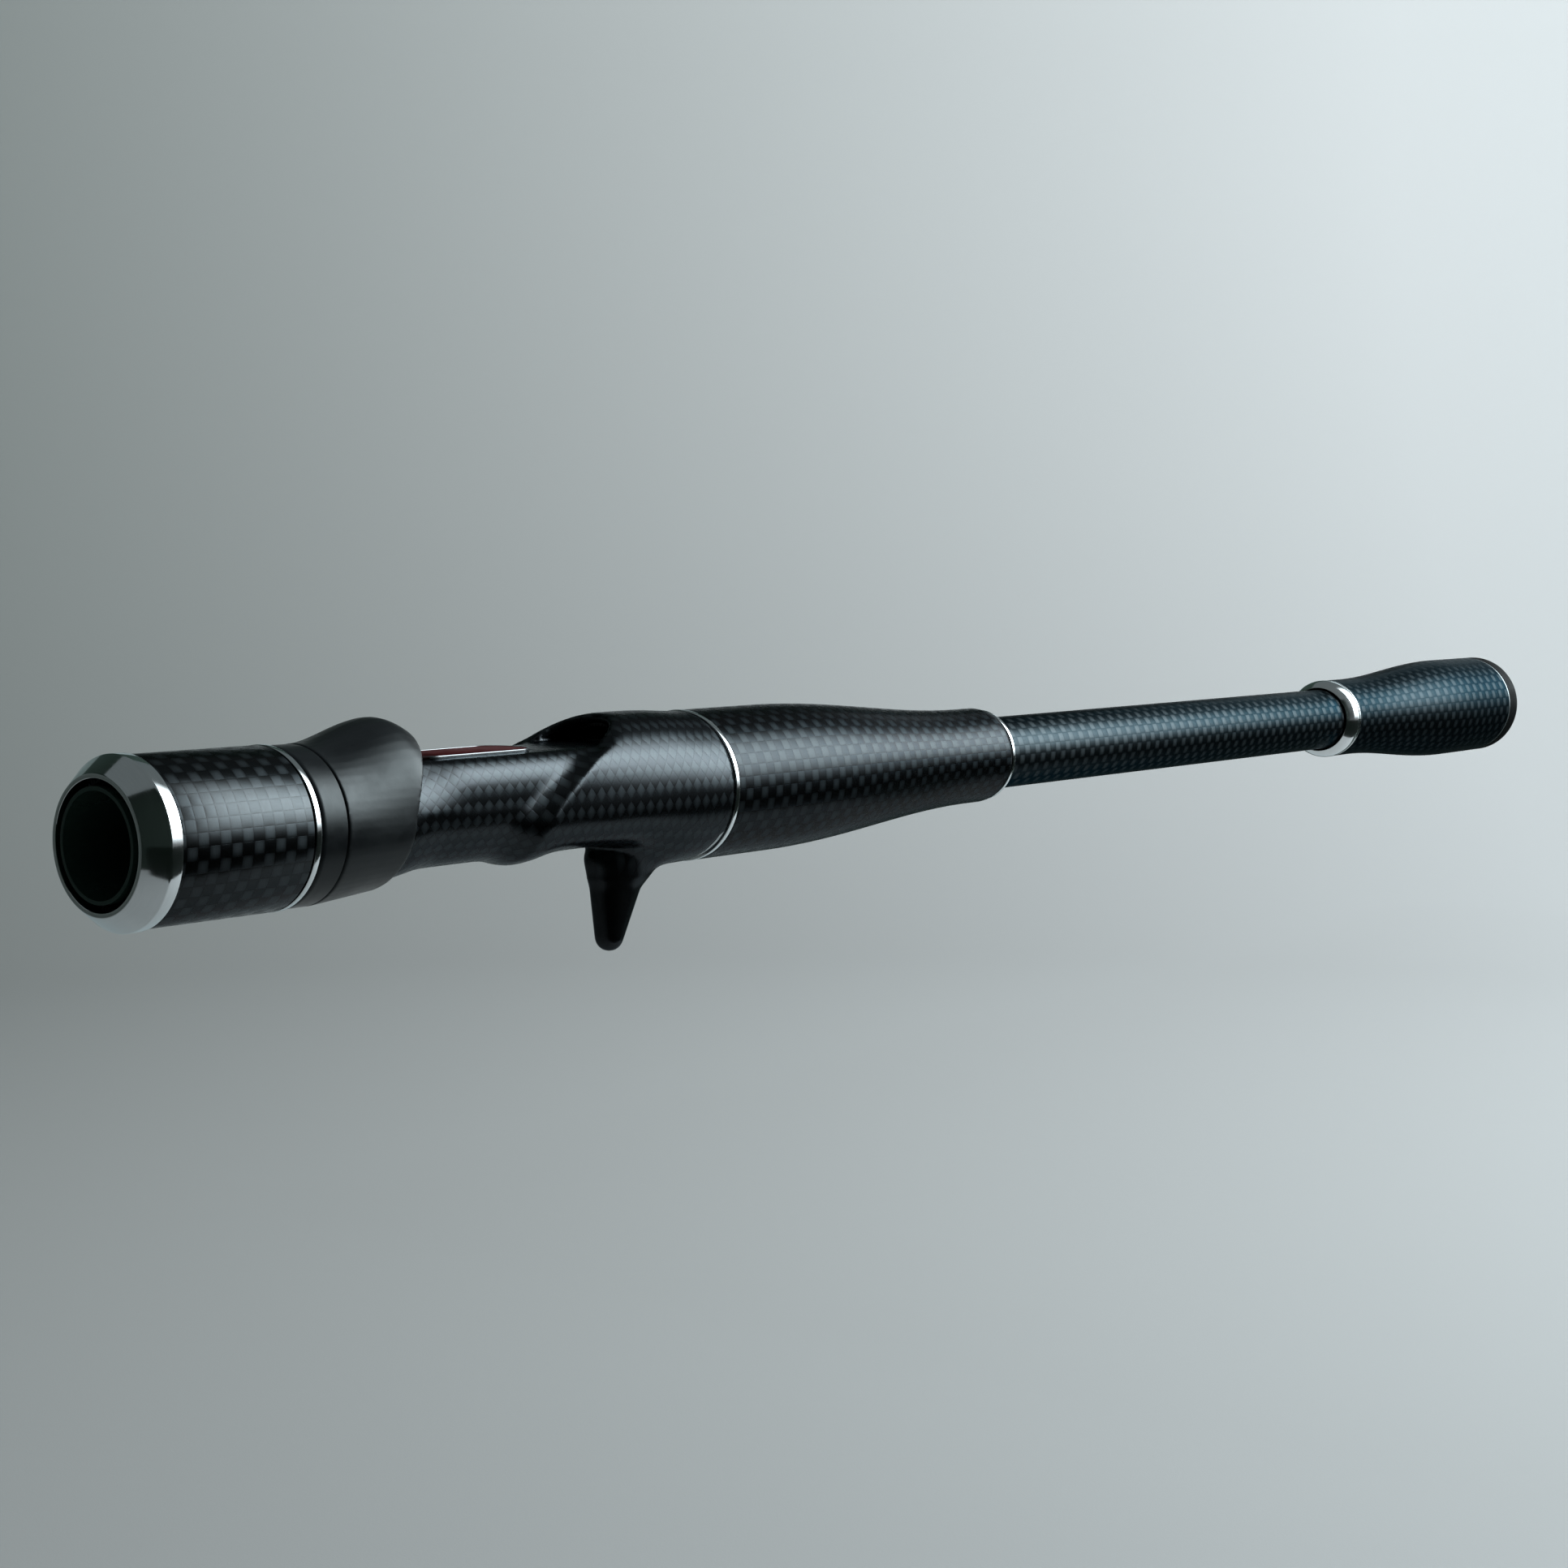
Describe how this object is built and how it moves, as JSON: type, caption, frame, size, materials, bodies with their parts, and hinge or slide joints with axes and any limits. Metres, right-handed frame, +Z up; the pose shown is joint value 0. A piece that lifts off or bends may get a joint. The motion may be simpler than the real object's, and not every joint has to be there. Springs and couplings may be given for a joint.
{
  "type": "casting rod handle",
  "caption": "Straight carbon rod handle: trigger reel seat, screw-down hood turned by the fore grip, rear grip, bare tube and flared butt grip, open socket for a rod blank.",
  "frame": {"origin": "centre of the blank socket's mouth at the nose", "axes": "+X along the rod axis from the nose to the butt, +Z up with the trigger pointing down, -Y to the side a viewer sees with the nose on the left"},
  "size_m": [0.4802, 0.028, 0.0448],
  "materials": {
    "carbon_seat": "satin clear-coated carbon weave",
    "carbon_fore_grip": "satin clear-coated carbon weave",
    "carbon_rear_grip": "satin carbon weave",
    "carbon_tube": "matte carbon weave",
    "carbon_butt_grip": "matte carbon weave",
    "hood_black": "matte moulded, finely mottled",
    "nut_black": "matte moulded",
    "barrel_polymer": "moulded",
    "polished_aluminium": "polished, lightly brushed around",
    "polished_check": "mirror polished",
    "plate_red": "gloss",
    "plate_edge": "bright",
    "pocket_black": "gloss",
    "core_foam": "rigid foam",
    "arbor_foam": "rigid foam",
    "bush_nylon": "satin",
    "foot_pad_rubber": "soft",
    "clip_steel": "spring temper",
    "washer_nylon": "satin",
    "cap_black": "satin"
  },
  "bodies": {
    "seat": {"threaded_barrel": "barrel_polymer", "seat_body": "carbon_seat", "foot_bed_plate": "plate_red", "foot_bed_trim": "plate_edge", "pocket_liner": "pocket_black", "tube_arbor_front": "arbor_foam", "tube_arbor_rear": "arbor_foam", "handle_tube": "carbon_tube", "rear_grip_front_ring": "polished_aluminium", "rear_grip_core": "core_foam", "rear_grip_sleeve": "carbon_rear_grip", "rear_grip_end_ring": "polished_aluminium", "butt_check_ring": "polished_check", "butt_grip_core": "core_foam", "butt_grip_sleeve": "carbon_butt_grip", "butt_trim_ring": "polished_aluminium", "butt_cap": "cap_black"},
    "hood": {"sliding_hood": "hood_black", "hood_liner": "bush_nylon", "hood_foot_pad": "foot_pad_rubber", "hood_clip": "clip_steel", "hood_washer": "washer_nylon"},
    "nut": {"lock_nut": "nut_black", "fore_grip_core": "core_foam", "fore_grip_sleeve": "carbon_fore_grip", "fore_grip_trim_ring": "polished_aluminium", "nose_ring": "polished_aluminium"}
  },
  "joints": [
    {"name": "hood_slide", "type": "slide", "parent": "seat", "child": "hood", "axis": [-1, 0, 0], "range_m": [0, 0.01301]},
    {"name": "nut_turn", "type": "hinge", "parent": "hood", "child": "nut", "pos_m": [0.034, 0, 0], "axis": [-1, 0, 0], "range_deg": [0, 2340]}
  ],
  "couplings": [
    {"joint": "hood_slide", "follows": "nut_turn", "m_per_rad": 0.00031831}
  ]
}
